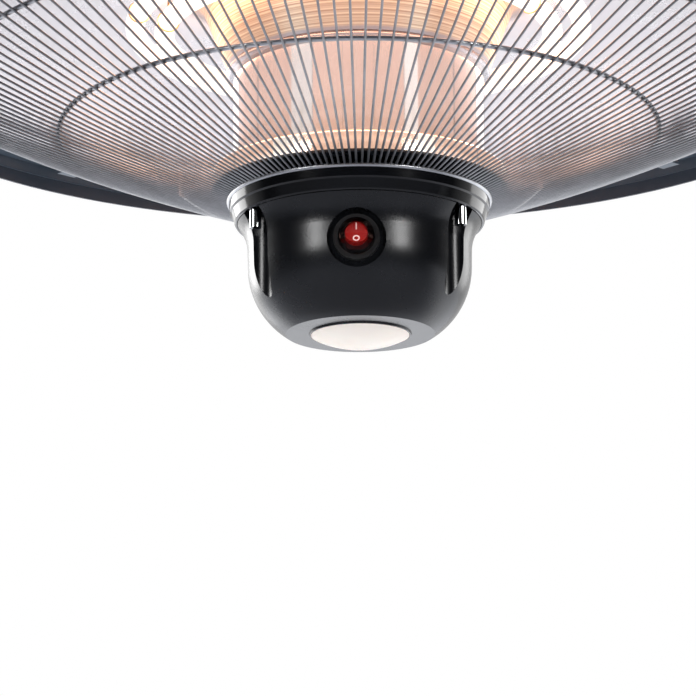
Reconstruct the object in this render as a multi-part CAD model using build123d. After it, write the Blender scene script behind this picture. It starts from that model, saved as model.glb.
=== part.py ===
"""Ceiling-hung ring-lamp patio heater.

Millimetres, +Z up. The round parts share one vertical axis. While the pieces are being
shaped, heights are measured up from the flat bottom face of the bowl, and -Y is the
front, where the switch is. save() then lowers each finished piece, so that the origin
is the centre of the hanging hole in the bail.
"""
from build123d import *
import os
from math import asin, atan, cos, degrees, pi, radians, sin, sqrt

os.makedirs("parts", exist_ok=True)

# Driving dimensions

shade_radius = 265.0          # outside of the shade's skirt
shade_rim_height = 135.2      # lower edge of the skirt
skirt_height = 15.7           # straight skirt below the dome of the shade
shade_rise = 87.7             # lower edge of the skirt up to the shade's flat top
shade_top_radius = 72.0
shade_bulge_radius = 188.0    # a point that the dome of the shade passes through
shade_bulge_rise = 58.7

bowl_radius = 56.8            # nearly straight wall of the bowl
bowl_flare_radius = 62.1      # where the bowl widens under the collar
bowl_face_radius = 37.7       # flat ring round the lens
bowl_wall = 2.4

column_radius = 64.5          # polished column between the bowl and the lamps
inner_lamp_radius = 100.0     # centre lines of the two ring lamps
outer_lamp_radius = 115.0
lamp_tube_radius = 5.0

wire_count = 150              # radial wires of the guard
wire_radius = 0.65
guard_margin = 25.0           # shade's outside in to the ends of the wires
guard_rise = 7.0              # skirt's lower edge up to the ends of the wires

spine_radius = 8.0            # steel tube that everything is threaded on
spine_bore = 6.5

bail_width = 81.4             # outside of the bail's two legs
bail_rise = 55.0              # pivot to the top of the bail
bail_eye_radius = 5.2         # clearance hole for an M10 hook or eye bolt

# Clearances

slip = 0.2                    # radial gap where one piece passes through another
running_gap = 0.08            # radial gap of the two bail pivots
side_gap = 0.3                # gap between pieces that move past each other
touch = 0.05                  # what is left between round pieces that touch

# Levels of the stack, each resting on the one below

collar_lip_height = 57.5
bowl_top_height = 61.1
collar_plate_height = 65.1
collar_top_height = 67.9
plate_height = 73.4
plate_sheet = 1.2
plate_top = plate_height + plate_sheet
column_base_height = 84.9
column_top_height = 135.4
bead_radius = 1.7
reflector_sheet = 1.0
reflector_floor = column_top_height + 2 * bead_radius
shade_sheet = 1.2
shade_top_height = shade_rim_height + shade_rise
spacer_length = 21.0          # under the shade's top and again over it
shield_sheet = 0.8
shield_top = shade_top_height - shade_sheet - spacer_length
shield_height = shield_top - shield_sheet
trough_gap = 12.0             # heat shield down to the highest part of the reflector
trough_height = shield_height - trough_gap
inner_lamp_drop = 29.6        # the lamps' centre lines hang this far below that part
outer_lamp_drop = 26.0
inner_lamp_height = trough_height - inner_lamp_drop
outer_lamp_height = trough_height - outer_lamp_drop
cap_wall = 2.5
cap_top = shade_top_height + spacer_length + cap_wall
hanger_sheet = 3.0
hanger_top = cap_top + hanger_sheet
pivot_rise = 13.0
pivot_height = hanger_top + pivot_rise
bail_sheet = 2.5
bail_top = pivot_height + bail_rise
origin_height = bail_top - bail_sheet / 2

drill_over = 5.0              # how far a drilled hole is cut past its sheet
refit_spans = 16              # spans of a spline that follows an offset curve
UPRIGHT = (Align.CENTER, Align.CENTER, Align.MIN)


# Shaping helpers

def save(name, shape):
    """Write one node, lowered so that the bail's hole is at the origin."""
    solids = list(shape.solids())
    whole = solids[0] if len(solids) == 1 else Compound(solids)
    export_step(Location((0, 0, -origin_height)) * whole, "parts/" + name + ".step")


def place(radius, angle, height=0.0):
    """A point at an angle in degrees round the axis; 0 is the front, 90 is +X."""
    turn = radians(angle)
    return (radius * sin(turn), -radius * cos(turn), height)


def turned(points):
    """A solid of revolution from a closed outline of (radius, height) points."""
    outline = make_face(Polyline(*points, close=True))
    return revolve(Plane.XZ * outline, Axis.Z)


def turned_lines(lines):
    """A solid of revolution from the lines and arcs of a closed outline."""
    outline = Face(Wire([line.edge() for line in lines]))
    return revolve(Plane.XZ * outline, Axis.Z)


def ring(inner, outer, low, high):
    """A flat-faced ring or washer."""
    return turned([(inner, low), (outer, low), (outer, high), (inner, high)])


def rod(radius, low, high, x=0.0, y=0.0):
    """An upright round bar."""
    return Location((x, y, low)) * Cylinder(radius, high - low, align=UPRIGHT)


def slab(width, depth, low, high, x=0.0, y=0.0):
    """An upright rectangular block."""
    return Location((x, y, low)) * Box(width, depth, high - low, align=UPRIGHT)


def hexagon(across_flats, low, high, x=0.0, y=0.0):
    """An upright hexagonal prism."""
    section = RegularPolygon(across_flats / sqrt(3), 6)
    return Location((x, y, low)) * extrude(section, amount=high - low)


def refit(edge):
    """The offset of a spline as a plain spline, so that it can be written to a file."""
    if edge.geom_type != GeomType.OFFSET:
        return edge
    return Spline([edge @ (index / refit_spans) for index in range(refit_spans + 1)]).edge()


def spun_sheet(lines, thickness, side):
    """A spun sheet: an open profile of lines and arcs, thickened to one side."""
    path = Wire([line.edge() for line in lines])
    inner = path.offset_2d(thickness, side=side, closed=False)
    inner = Wire([refit(edge) for edge in inner.edges()])
    start, end = path @ 0, path @ 1
    near, far = inner @ 0, inner @ 1
    if (near - start).length > (far - start).length:
        near, far = far, near
    caps = [Edge.make_line(start, near), Edge.make_line(end, far)]
    outline = Face(Wire(list(path.edges()) + list(inner.edges()) + caps))
    return revolve(Plane.XZ * outline, Axis.Z)


def tube(path, radius, bore=0.0):
    """A round bar or tube along a path of lines and arcs."""
    start = Plane(origin=path @ 0, z_dir=path % 0)
    bar = sweep(start * Circle(radius), path=path)
    if bore > 0:
        bar -= sweep(start * Circle(bore), path=path)
    return bar


def around(shape, angles):
    """Copies of a shape made at the front, turned to each angle round the axis."""
    return [Rotation(0, 0, angle) * shape for angle in angles]


def group(shapes):
    """Separate solids that share one node."""
    return Compound([solid for shape in shapes for solid in shape.solids()])


def evenly(count, first=0.0):
    """Angles of count places spread evenly round the axis."""
    return [first + index * 360 / count for index in range(count)]


# Bowl: one moulding with the lamp opening, the switch pocket and three screw grooves

lens_opening_radius = 25.0
lens_lip_width = 0.7          # raised lip round the lens opening
lens_lip_height = 0.8
lens_lip_slope = 0.3
bowl_floor = 1.6              # inside of the bowl's bottom
bowl_belly_radius = 49.2      # a point on the round lower part of the bowl
bowl_belly_height = 10.8
bowl_wall_low = 33.9
bowl_wall_high = 43.9
bowl_draft = 0.2
bowl_cove_radius = 58.5       # a point on the hollow curve under the collar
bowl_cove_height = 50.9

groove_angles = (60, 180, 300)
groove_circle = 59.2          # the bowl's screws stand on this circle
groove_radius = 8.3
groove_wall = 2.0
ledge_height = 58.6           # the screw heads bear here, under the collar's lip
bowl_screw_radius = 2.0
bowl_screw_head_radius = 3.0
bowl_screw_head_height = 10.5
bowl_screw_socket_radius = 1.5
bowl_screw_socket_depth = 5.0
bowl_screw_end = 5.5          # thread standing above the base plate

switch_height = 35.1
switch_seat = 53.0            # distance of the switch's seat from the axis
pocket_radius = 14.7
pocket_wall = 2.0
switch_body_radius = 10.0
switch_hole_radius = switch_body_radius + slip

led_post_angles = evenly(3)
led_post_circle = 30.5
led_post_radius = 2.6
led_board_height = 9.0
board_screw_radius = 1.25
board_screw_length = 5.6
board_sheet = 1.6


def facing_front(shape, height, distance):
    """Turn a shape made along +Z so that it points out of the front of the bowl."""
    return Location((0, -distance, height)) * Rotation(90, 0, 0) * shape


def make_bowl():
    lip = (lens_opening_radius, -lens_lip_height)
    lip_edge = (lens_opening_radius + lens_lip_width, -lens_lip_height)
    lip_foot = (lens_opening_radius + lens_lip_width + lens_lip_slope, 0)
    corner = (bowl_face_radius, 0)
    low_wall = (bowl_radius, bowl_wall_low)
    high_wall = (bowl_radius + bowl_draft, bowl_wall_high)
    flare = (bowl_flare_radius, collar_lip_height - slip)
    top = (bowl_flare_radius, bowl_top_height)
    axis_top = (0, bowl_top_height)
    axis_low = (0, -lens_lip_height)
    envelope = turned_lines([
        Line(lip, lip_edge),
        Line(lip_edge, lip_foot),
        Line(lip_foot, corner),
        ThreePointArc(corner, (bowl_belly_radius, bowl_belly_height), low_wall),
        Line(low_wall, high_wall),
        ThreePointArc(high_wall, (bowl_cove_radius, bowl_cove_height), flare),
        Line(flare, top),
        Line(top, axis_top),
        Line(axis_top, axis_low),
        Line(axis_low, lip),
    ])

    floor_axis = (0, bowl_floor)
    floor_corner = (bowl_face_radius - bowl_wall / 2, bowl_floor)
    inset = bowl_wall * sin(pi / 4)
    belly = (bowl_belly_radius - inset, bowl_belly_height + inset)
    inner_low = (bowl_radius - bowl_wall, bowl_wall_low)
    inner_top = (bowl_radius - bowl_wall, bowl_top_height)
    hollow = turned_lines([
        Line(floor_axis, floor_corner),
        ThreePointArc(floor_corner, belly, inner_low),
        Line(inner_low, inner_top),
        Line(inner_top, axis_top),
        Line(axis_top, floor_axis),
    ])

    reach = bowl_flare_radius - switch_seat
    cup = Cylinder(pocket_radius + pocket_wall, reach + pocket_wall, align=UPRIGHT)
    cup = facing_front(cup, switch_height, switch_seat - pocket_wall)
    pocket = facing_front(Cylinder(pocket_radius, reach, align=UPRIGHT), switch_height, switch_seat)
    hole = Cylinder(switch_hole_radius, reach, align=UPRIGHT)
    hole = facing_front(hole, switch_height, switch_seat - reach / 2)

    boss = rod(groove_radius + groove_wall, 0, bowl_top_height, 0, -groove_circle)
    groove = rod(groove_radius, -bowl_wall, ledge_height, 0, -groove_circle)
    shank = rod(bowl_screw_radius + slip, 0, bowl_top_height, 0, -groove_circle)
    post = rod(led_post_radius, bowl_floor, led_board_height, 0, -led_post_circle)
    pilot_low = led_board_height - board_screw_length
    pilot = rod(board_screw_radius, pilot_low, led_board_height, 0, -led_post_circle)

    body = envelope - hollow
    body += envelope & cup
    for extra in around(boss, groove_angles):
        body += envelope & extra
    for extra in around(post, led_post_angles):
        body += extra
    for cut in around(groove, groove_angles) + around(shank, groove_angles):
        body -= cut
    for cut in around(pilot, led_post_angles) + [pocket, hole]:
        body -= cut
    body -= rod(lens_opening_radius, -bowl_wall, bowl_wall)
    return body


save("bowl", make_bowl())

bowl_screw_top = plate_top + bowl_screw_end
bowl_screw = rod(bowl_screw_head_radius, ledge_height - bowl_screw_head_height, ledge_height)
socket_low = ledge_height - bowl_screw_head_height
bowl_screw -= rod(bowl_screw_socket_radius, socket_low, socket_low + bowl_screw_socket_depth)
bowl_screw += rod(bowl_screw_radius, ledge_height, bowl_screw_top)
bowl_screw = Location((0, -groove_circle, 0)) * bowl_screw
save("bowl_screws", group(around(bowl_screw, groove_angles)))


# Collar: the moulding that carries the bowl and clamps the guard's inner ring

collar_bore = bowl_flare_radius + side_gap
collar_lip_radius = 63.7
collar_lip_bevel = 0.5
collar_lip_rise = 0.7
collar_step_inner = 65.0      # the collar steps out from here to the next radius
collar_step_outer = 66.0
collar_step_low = 63.1
collar_step_high = 63.8
collar_top_radius = 66.6
upstand_inner = 50.0
upstand_outer = 57.0
collar_boss_radius = 5.0

collar = turned([
    (collar_bore, collar_lip_height),
    (collar_lip_radius - collar_lip_bevel, collar_lip_height),
    (collar_lip_radius, collar_lip_height + collar_lip_rise),
    (collar_step_inner, collar_step_low),
    (collar_step_outer, collar_step_high),
    (collar_top_radius, collar_top_height),
    (upstand_outer, collar_top_height),
    (upstand_outer, plate_height),
    (upstand_inner, plate_height),
    (upstand_inner, collar_top_height),
    (spine_radius + slip, collar_top_height),
    (spine_radius + slip, collar_plate_height),
    (collar_bore, collar_plate_height),
])
collar_boss = rod(collar_boss_radius, bowl_top_height, collar_plate_height, 0, -groove_circle)
collar_boss &= rod(collar_bore, bowl_top_height, collar_plate_height)
collar_bore_cut = rod(bowl_screw_radius + slip, bowl_top_height, plate_height, 0, -groove_circle)
board_post_angles = evenly(3, 30)
board_post_circle = 38.0
board_post_radius = 3.0
board_height = 50.9
board_top = board_height + board_sheet
board_post = rod(board_post_radius, board_top, collar_plate_height, 0, -board_post_circle)
board_pilot = rod(board_screw_radius, board_top, board_top + board_screw_length, 0, -board_post_circle)
for extra in around(collar_boss, groove_angles) + around(board_post, board_post_angles):
    collar += extra
for cut in around(collar_bore_cut, groove_angles) + around(board_pilot, board_post_angles):
    collar -= cut
save("collar", collar)


# Lamp in the bottom of the bowl: lens, clamping ring, board with its emitters

lens_sag = 6.0
lens_wall = 1.6
lens_flange_radius = 27.7
lens_flange_sheet = 1.5
lens_flange_low = bowl_floor
lens_radius = lens_opening_radius - slip
lens_inner = lens_radius - lens_wall
lens_ring_inner = 22.0
lens_ring_outer = 27.4
lens_ring_height = 2.5
led_board_radius = 34.0
led_wire_hole = 2.0
emitter_side = 3.0
emitter_height = 0.8
emitter_circle = 14.0
emitter_count = 8

lens_top = lens_flange_low + lens_flange_sheet
lens_sphere = (lens_radius ** 2 + lens_sag ** 2) / (2 * lens_sag)
lens_centre = lens_sphere - lens_sag - lens_lip_height


def on_sphere(radius, sphere):
    """A point of the dome's outline: the sphere's centre is on the axis."""
    return (radius, lens_centre - sqrt(sphere ** 2 - radius ** 2))


lens_low = on_sphere(0, lens_sphere)
lens_mid = on_sphere(lens_radius / 2, lens_sphere)
lens_rim = on_sphere(lens_radius, lens_sphere)
lens_in_low = on_sphere(0, lens_sphere - lens_wall)
lens_in_mid = on_sphere(lens_inner / 2, lens_sphere - lens_wall)
lens_in_rim = on_sphere(lens_inner, lens_sphere - lens_wall)
save("lens", turned_lines([
    ThreePointArc(lens_low, lens_mid, lens_rim),
    Line(lens_rim, (lens_radius, lens_flange_low)),
    Line((lens_radius, lens_flange_low), (lens_flange_radius, lens_flange_low)),
    Line((lens_flange_radius, lens_flange_low), (lens_flange_radius, lens_top)),
    Line((lens_flange_radius, lens_top), (lens_inner, lens_top)),
    Line((lens_inner, lens_top), lens_in_rim),
    ThreePointArc(lens_in_rim, lens_in_mid, lens_in_low),
    Line(lens_in_low, lens_low),
]))
save("lens_ring", ring(lens_ring_inner, lens_ring_outer, lens_top, lens_top + lens_ring_height))

led_board_top = led_board_height + board_sheet
led_board = ring(led_wire_hole, led_board_radius, led_board_height, led_board_top)
led_hole = rod(board_screw_radius + slip, led_board_height, led_board_top)
led_hole = Location((0, -led_post_circle, 0)) * led_hole
for cut in around(led_hole, led_post_angles):
    led_board -= cut
save("led_board", led_board)

emitter_low = led_board_height - emitter_height
emitter = slab(emitter_side, emitter_side, emitter_low, led_board_height, 0, -emitter_circle)
save("led_emitters", group(around(emitter, evenly(emitter_count, 22.5))))


# Control board in the top of the bowl, hung from the collar's posts

board_radius = 44.0
board_screw_head_radius = 2.5
board_screw_head = 1.5
relay_width = 19.0
relay_depth = 15.5
relay_height = 9.5
relay_offset = 27.0
relay_gap = 2.0

control_board = rod(board_radius, board_height, board_top)
board_hole = rod(board_screw_radius + slip, board_height, board_top, 0, -board_post_circle)
for cut in around(board_hole, board_post_angles):
    control_board -= cut
save("control_board", control_board)

relay = slab(relay_width, relay_depth, board_top, board_top + relay_height, relay_offset)
relay_step = (relay_depth + relay_gap) / 2
save("relays", group([Location((0, side * relay_step, 0)) * relay for side in (-1, 1)]))

board_screw = rod(board_screw_head_radius, -board_screw_head, 0)
board_screw += rod(board_screw_radius, 0, board_screw_length)
lens_screw = Location((0, -led_post_circle, led_board_top)) * Rotation(180, 0, 0) * board_screw
board_screw = Location((0, -board_post_circle, board_height)) * board_screw
board_screws = around(board_screw, board_post_angles) + around(lens_screw, led_post_angles)
save("board_screws", group(board_screws))


# Switch: round housing, rocker with its marks, clear boot and the boot's ring

bezel_radius = 11.5
bezel_sheet = 1.8
switch_depth = 20.0           # behind its seat
switch_well_radius = 7.8
switch_well_depth = 8.5       # behind the bezel's front
switch_terminal_width = 4.8
switch_terminal_sheet = 0.8
switch_terminal_length = 8.0
switch_terminal_pitch = 6.0
boot_radius = 8.95
boot_wall = 0.8
boot_window_radius = 6.0
boot_front = 62.2             # distance of the boot's window from the axis
boot_shoulder = 1.6
boot_flange_radius = 10.4
boot_flange_sheet = 0.8
boot_ring_height = 2.0
rocker_radius = 5.6
rocker_pivot = 49.5           # distance of the rocker's pivot from the axis
rocker_tilt = 10.0            # each way from level
rocker_back = 47.0
rocker_back_radius = 3.1
rocker_shoulder = 51.5        # distance of its widest part from the axis
rocker_valley = 58.4          # the front of the rocker at its middle
rocker_end_rise = 1.1         # how far its two ends stand in front of that
pivot_pin_radius = 0.9
pivot_pin_seat = 1.5          # how far the pin reaches into the housing's wall
mark_height = 0.2
mark_offset = 3.3
mark_length = 3.4
mark_stroke = 0.6

bezel_front = switch_seat + bezel_sheet
housing = rod(switch_body_radius, -switch_depth, 0) + rod(bezel_radius, 0, bezel_sheet)
housing -= rod(switch_well_radius, bezel_sheet - switch_well_depth, bezel_sheet)
pin_bore = Location((0, 0, rocker_pivot - switch_seat)) * Rotation(0, 90, 0)
pin_length = 2 * (switch_well_radius + pivot_pin_seat)
housing -= pin_bore * Cylinder(pivot_pin_radius + running_gap, pin_length)
save("switch_housing", facing_front(housing, switch_height, switch_seat))

terminal = slab(switch_terminal_width, switch_terminal_sheet,
                -switch_depth - switch_terminal_length, -switch_depth)
terminals = [Location((0, row * switch_terminal_pitch, 0)) * terminal for row in (-1, 0, 1)]
save("switch_terminals", facing_front(group(terminals), switch_height, switch_seat))

boot_seat = bezel_sheet
boot_tip = boot_front - switch_seat
boot_outline = [
    (boot_radius - boot_wall, boot_seat),
    (boot_flange_radius, boot_seat),
    (boot_flange_radius, boot_seat + boot_flange_sheet),
    (boot_radius, boot_seat + boot_flange_sheet),
    (boot_radius, boot_tip - boot_shoulder),
    (boot_window_radius, boot_tip),
    (0, boot_tip),
    (0, boot_tip - boot_wall),
    (boot_window_radius - boot_wall / 3, boot_tip - boot_wall),
    (boot_radius - boot_wall, boot_tip - boot_shoulder - boot_wall / 3),
]
save("switch_boot", facing_front(turned(boot_outline), switch_height, switch_seat))

boot_ring_low = boot_seat + boot_flange_sheet
boot_ring = ring(boot_radius + slip, bezel_radius, boot_ring_low, boot_ring_low + boot_ring_height)
boot_ring += ring(boot_flange_radius + slip, bezel_radius, boot_seat, boot_ring_low)
save("switch_boot_ring", facing_front(boot_ring, switch_height, switch_seat))


def rocker_side():
    """Side view of the level rocker: along the switch's axis and up."""
    end = rocker_valley + rocker_end_rise
    return make_face(Polyline(
        (-rocker_back, -rocker_back_radius),
        (-rocker_shoulder, -rocker_radius),
        (-end, -rocker_radius),
        (-rocker_valley, 0),
        (-end, rocker_radius),
        (-rocker_shoulder, rocker_radius),
        (-rocker_back, rocker_back_radius),
        close=True,
    ))


def tilted(shape):
    """Tilt the level rocker into its rest position, with its upper half pressed."""
    axis = Axis((0, -rocker_pivot, switch_height), (1, 0, 0))
    return shape.rotate(axis, -rocker_tilt)


rocker = extrude(Plane.YZ * rocker_side(), amount=rocker_radius, both=True)
rocker = Location((0, 0, switch_height)) * rocker
round_body = Cylinder(rocker_radius, boot_front - rocker_back, align=UPRIGHT)
rocker &= facing_front(round_body, switch_height, rocker_back)
pin = Location((0, -rocker_pivot, switch_height)) * Rotation(0, 90, 0)
rocker += pin * Cylinder(pivot_pin_radius, pin_length - 2 * slip)
save("switch_rocker", tilted(rocker))

half_slope = degrees(asin(rocker_end_rise / sqrt(rocker_end_rise ** 2 + rocker_radius ** 2)))
mark_depth = rocker_valley + rocker_end_rise * mark_offset / rocker_radius + touch
on_mark = extrude(Rectangle(mark_stroke, mark_length), amount=mark_height)
off_face = Circle(mark_length / 2) - Circle(mark_length / 2 - mark_stroke)
off_mark = extrude(off_face, amount=mark_height)
on_mark = facing_front(Rotation(half_slope, 0, 0) * on_mark, switch_height + mark_offset, mark_depth)
off_mark = facing_front(Rotation(-half_slope, 0, 0) * off_mark, switch_height - mark_offset, mark_depth)
save("rocker_marks", tilted(group([on_mark, off_mark])))


# Base plate and the polished drum, column and bead that stand on it

plate_radius = 75.7
drum_radius = 75.0
drum_sheet = 0.8
drum_bend = 1.6
drum_shelf_inner = 58.0
column_sheet = 0.8
nut_height = 3.2
nut_flats = 7.0

base_plate = ring(spine_radius + slip, plate_radius, plate_height, plate_top)
plate_hole = rod(bowl_screw_radius + slip, plate_height, plate_top, 0, -groove_circle)
for cut in around(plate_hole, groove_angles):
    base_plate -= cut
save("base_plate", base_plate)

bowl_nut = hexagon(nut_flats, plate_top, plate_top + nut_height)
bowl_nut -= rod(bowl_screw_radius + touch, plate_top, plate_top + nut_height)
bowl_nut = Location((0, -groove_circle, 0)) * bowl_nut
save("bowl_nuts", group(around(bowl_nut, groove_angles)))

bend_mid = drum_bend * (1 - cos(pi / 4))
save("column_base", spun_sheet([
    Line((drum_radius, plate_top), (drum_radius, column_base_height - drum_bend)),
    ThreePointArc((drum_radius, column_base_height - drum_bend),
                  (drum_radius - bend_mid, column_base_height - bend_mid),
                  (drum_radius - drum_bend, column_base_height)),
    Line((drum_radius - drum_bend, column_base_height), (drum_shelf_inner, column_base_height)),
], drum_sheet, Side.LEFT))
save("column", ring(column_radius - column_sheet, column_radius, column_base_height, column_top_height))

bead_circle = column_radius + bead_radius
bead_outline = Location((bead_circle, column_top_height + bead_radius)) * Circle(bead_radius)
bead = revolve(Plane.XZ * bead_outline, Axis.Z)
bead += ring(column_radius - column_sheet, bead_circle, column_top_height, reflector_floor)
save("column_bead", bead)


# Spine: the tube, its two nuts and the spacers threaded on it

nut_flats_big = 24.0
spine_nut_height = 6.0
spacer_radius = 11.0
spine_end = 2.0               # thread standing out of each nut
spine_low = collar_plate_height - spine_nut_height - spine_end
spine_high = hanger_top + spine_nut_height + spine_end
hole_radius = spine_radius + slip

save("spine_tube", ring(spine_bore, spine_radius, spine_low, spine_high))
low_nut = hexagon(nut_flats_big, collar_plate_height - spine_nut_height, collar_plate_height)
high_nut = hexagon(nut_flats_big, hanger_top, hanger_top + spine_nut_height)
spine_cut = rod(spine_radius + touch, spine_low, spine_high)
save("spine_nuts", group([low_nut - spine_cut, high_nut - spine_cut]))
save("lower_spacer", ring(hole_radius, spacer_radius, plate_top, reflector_floor))
save("middle_spacer", ring(hole_radius, spacer_radius, reflector_floor + reflector_sheet, shield_height))
upper_spacer = ring(hole_radius, spacer_radius, 0, spacer_length)
save("upper_spacers", group([
    Location((0, 0, shield_top)) * upper_spacer,
    Location((0, 0, shade_top_height)) * upper_spacer,
]))


# Shade, the black ring inside its rim, and the heat shield

rim_ring_rise = 13.2
rim_ring_height = shade_rim_height + rim_ring_rise
rim_ring_sheet = 1.2
rim_ring_width = 21.5         # measured in from the shade's outside
rim_ring_inner = shade_radius - rim_ring_width
rim_ring_flange = 6.0
rim_screw_margin = 13.0
rim_screw_circle = shade_radius - rim_screw_margin
rim_screw_radius = 1.6
rim_screw_head = 3.2
rim_screw_head_height = 1.8
rim_screw_length = 5.0
shield_radius = 86.0
shield_lip = 4.0
lead_slot_circle = 40.0
lead_slot_length = 42.0
lead_slot_width = 9.0
grommet_wall = 1.6
grommet_rim = 1.5

skirt_top = (shade_radius, shade_rim_height + skirt_height)
shade_bulge = (shade_bulge_radius, shade_rim_height + shade_bulge_rise)
shade_edge = (shade_top_radius, shade_top_height)
shade = spun_sheet([
    Line((shade_radius, shade_rim_height), skirt_top),
    Spline(skirt_top, shade_bulge, shade_edge),
    Line(shade_edge, (hole_radius, shade_top_height)),
], shade_sheet, Side.LEFT)
lead_slot = extrude(SlotOverall(lead_slot_length, lead_slot_width), amount=4 * shade_sheet)
lead_slot = Location((0, lead_slot_circle, shade_top_height - 2 * shade_sheet)) * lead_slot
shade -= lead_slot

rim_ring_outer = shade_radius - shade_sheet - touch
rim_ring_top = rim_ring_height + rim_ring_sheet
rim_ring = turned([
    (rim_ring_inner, rim_ring_height),
    (rim_ring_outer - rim_ring_sheet, rim_ring_height),
    (rim_ring_outer - rim_ring_sheet, rim_ring_height - rim_ring_flange),
    (rim_ring_outer, rim_ring_height - rim_ring_flange),
    (rim_ring_outer, rim_ring_top),
    (rim_ring_inner, rim_ring_top),
])

shield = turned([
    (hole_radius, shield_height),
    (shield_radius, shield_height),
    (shield_radius, shield_height + shield_lip),
    (shield_radius - shield_sheet, shield_height + shield_lip),
    (shield_radius - shield_sheet, shield_top),
    (hole_radius, shield_top),
])
save("heat_shield", shield)

grommet = SlotOverall(lead_slot_length - 2 * slip, lead_slot_width - 2 * slip)
grommet_bore = SlotOverall(lead_slot_length - 2 * grommet_wall, lead_slot_width - 2 * grommet_wall)
grommet_flange = SlotOverall(lead_slot_length + 2 * grommet_rim, lead_slot_width + 2 * grommet_rim)
lead_grommet = extrude(grommet - grommet_bore, amount=shade_sheet + grommet_rim)
lead_grommet += Location((0, 0, shade_sheet)) * extrude(grommet_flange - grommet_bore, amount=grommet_rim)
save("lead_grommet", Location((0, lead_slot_circle, shade_top_height - shade_sheet)) * lead_grommet)


# Reflector: one spun sheet, a trumpet over the bead that opens into the lamp trough

trumpet_foot_radius = 66.3
trumpet_top_radius = 80.6
trumpet_top_drop = 11.0       # below the reflector's highest part
shoulder_radius = 88.0
shoulder_drop = 3.6
trough_radius = 104.0
fall_radius = 180.0
fall_drop = 12.5
reflector_margin = 18.0       # shade's outside in to the reflector's edge
reflector_flange_width = 10.0
inner_leg_offset = 9.0        # a lamp's two legs stand this far either side of the back
outer_leg_offset = 19.0
leg_bend = 9.0
leg_hole_radius = 5.6

foot = (trumpet_foot_radius, reflector_floor + reflector_sheet)
trumpet_top = (trumpet_top_radius, trough_height - trumpet_top_drop)
shoulder = (shoulder_radius, trough_height - shoulder_drop)
trough_top = (trough_radius, trough_height)
fall = (fall_radius, trough_height - fall_drop)
reflector_edge_radius = shade_radius - reflector_margin
edge = (reflector_edge_radius, rim_ring_top + reflector_sheet)
reflector = spun_sheet([
    Line((hole_radius, reflector_floor + reflector_sheet), foot),
    Line(foot, trumpet_top),
    ThreePointArc(trumpet_top, shoulder, trough_top),
    Spline(trough_top, fall, edge),
    Line(edge, (reflector_edge_radius + reflector_flange_width, rim_ring_top + reflector_sheet)),
], reflector_sheet, Side.RIGHT)
leg_places = []
for radius, offset in ((inner_lamp_radius, inner_leg_offset), (outer_lamp_radius, outer_leg_offset)):
    leg_depth = sqrt(radius ** 2 + leg_bend ** 2 - offset ** 2)
    leg_places += [(-offset, leg_depth), (offset, leg_depth)]
for x, y in leg_places:
    reflector -= rod(leg_hole_radius, reflector_floor, shield_height, x, y)
rim_screw_hole = rod(rim_screw_radius + slip, rim_ring_height - drill_over, rim_ring_top + drill_over,
                     0, -rim_screw_circle)
rim_screw_angles = evenly(6)
for cut in around(rim_screw_hole, rim_screw_angles):
    reflector -= cut
    rim_ring -= cut

rim_screw = rod(rim_screw_head, -rim_screw_head_height, 0) + rod(rim_screw_radius, 0, rim_screw_length)
rim_screws = around(Location((0, -rim_screw_circle, rim_ring_height)) * rim_screw, rim_screw_angles)


# Guard: radial wires butted on the inner ring, with three rings laid on their upper side

inner_ring_radius = 66.5
inner_ring_wire = 1.2
inner_ring_height = collar_top_height + inner_ring_wire + touch
guard_outer_radius = shade_radius - guard_margin
guard_outer_height = shade_rim_height + guard_rise
middle_ring_radius = 153.0
wire_sag = 3.35               # of the wires' centre line there, below a straight line between its ends
upper_ring_margin = 32.0
upper_ring_radius = guard_outer_radius - upper_ring_margin
cross_ring_wire = 1.3
outer_ring_wire = 2.0
wire_end_angle = 30.0         # where the wires meet the inner ring, above level
wire_phase = 1.6              # degrees from +X to the first wire
wire_end_reach = inner_ring_wire + touch
wire_start = (inner_ring_radius + wire_end_reach * cos(radians(wire_end_angle)),
              inner_ring_height + wire_end_reach * sin(radians(wire_end_angle)))
wire_slope = (guard_outer_height - wire_start[1]) / (guard_outer_radius - wire_start[0])
wire_middle_height = wire_start[1] + wire_slope * (middle_ring_radius - wire_start[0]) - wire_sag
wire_middle = (middle_ring_radius, wire_middle_height)
guard_arc = ThreePointArc(wire_start, wire_middle, (guard_outer_radius, guard_outer_height))
guard_centre = guard_arc.arc_center
guard_bend = guard_arc.radius


def on_wires(radius, offset):
    """A point at a distance above the wires' centre line, square to it."""
    reach = guard_bend - offset
    return (radius, guard_centre.Y - sqrt(reach ** 2 - (radius - guard_centre.X) ** 2))


def wire_ring(radius, height, wire):
    """A closed ring of round wire."""
    return Location((0, 0, height)) * Torus(radius, wire)


wire = tube(Plane.XZ * guard_arc, wire_radius)
save("guard_wires", group(around(wire, evenly(wire_count, wire_phase))))
save("guard_inner_ring", wire_ring(inner_ring_radius, inner_ring_height, inner_ring_wire))
cross_offset = wire_radius + cross_ring_wire + touch
for name, radius in (("guard_middle_ring", middle_ring_radius), ("guard_upper_ring", upper_ring_radius)):
    _, height = on_wires(radius, cross_offset)
    save(name, wire_ring(radius, height, cross_ring_wire))
outer_ring_radius = guard_outer_radius - outer_ring_wire
_, outer_ring_height = on_wires(outer_ring_radius, wire_radius + outer_ring_wire + touch)
save("guard_outer_ring", wire_ring(outer_ring_radius, outer_ring_height, outer_ring_wire))


# Guard clips: steel strips screwed under the rim ring, each holding the outer ring up

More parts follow.
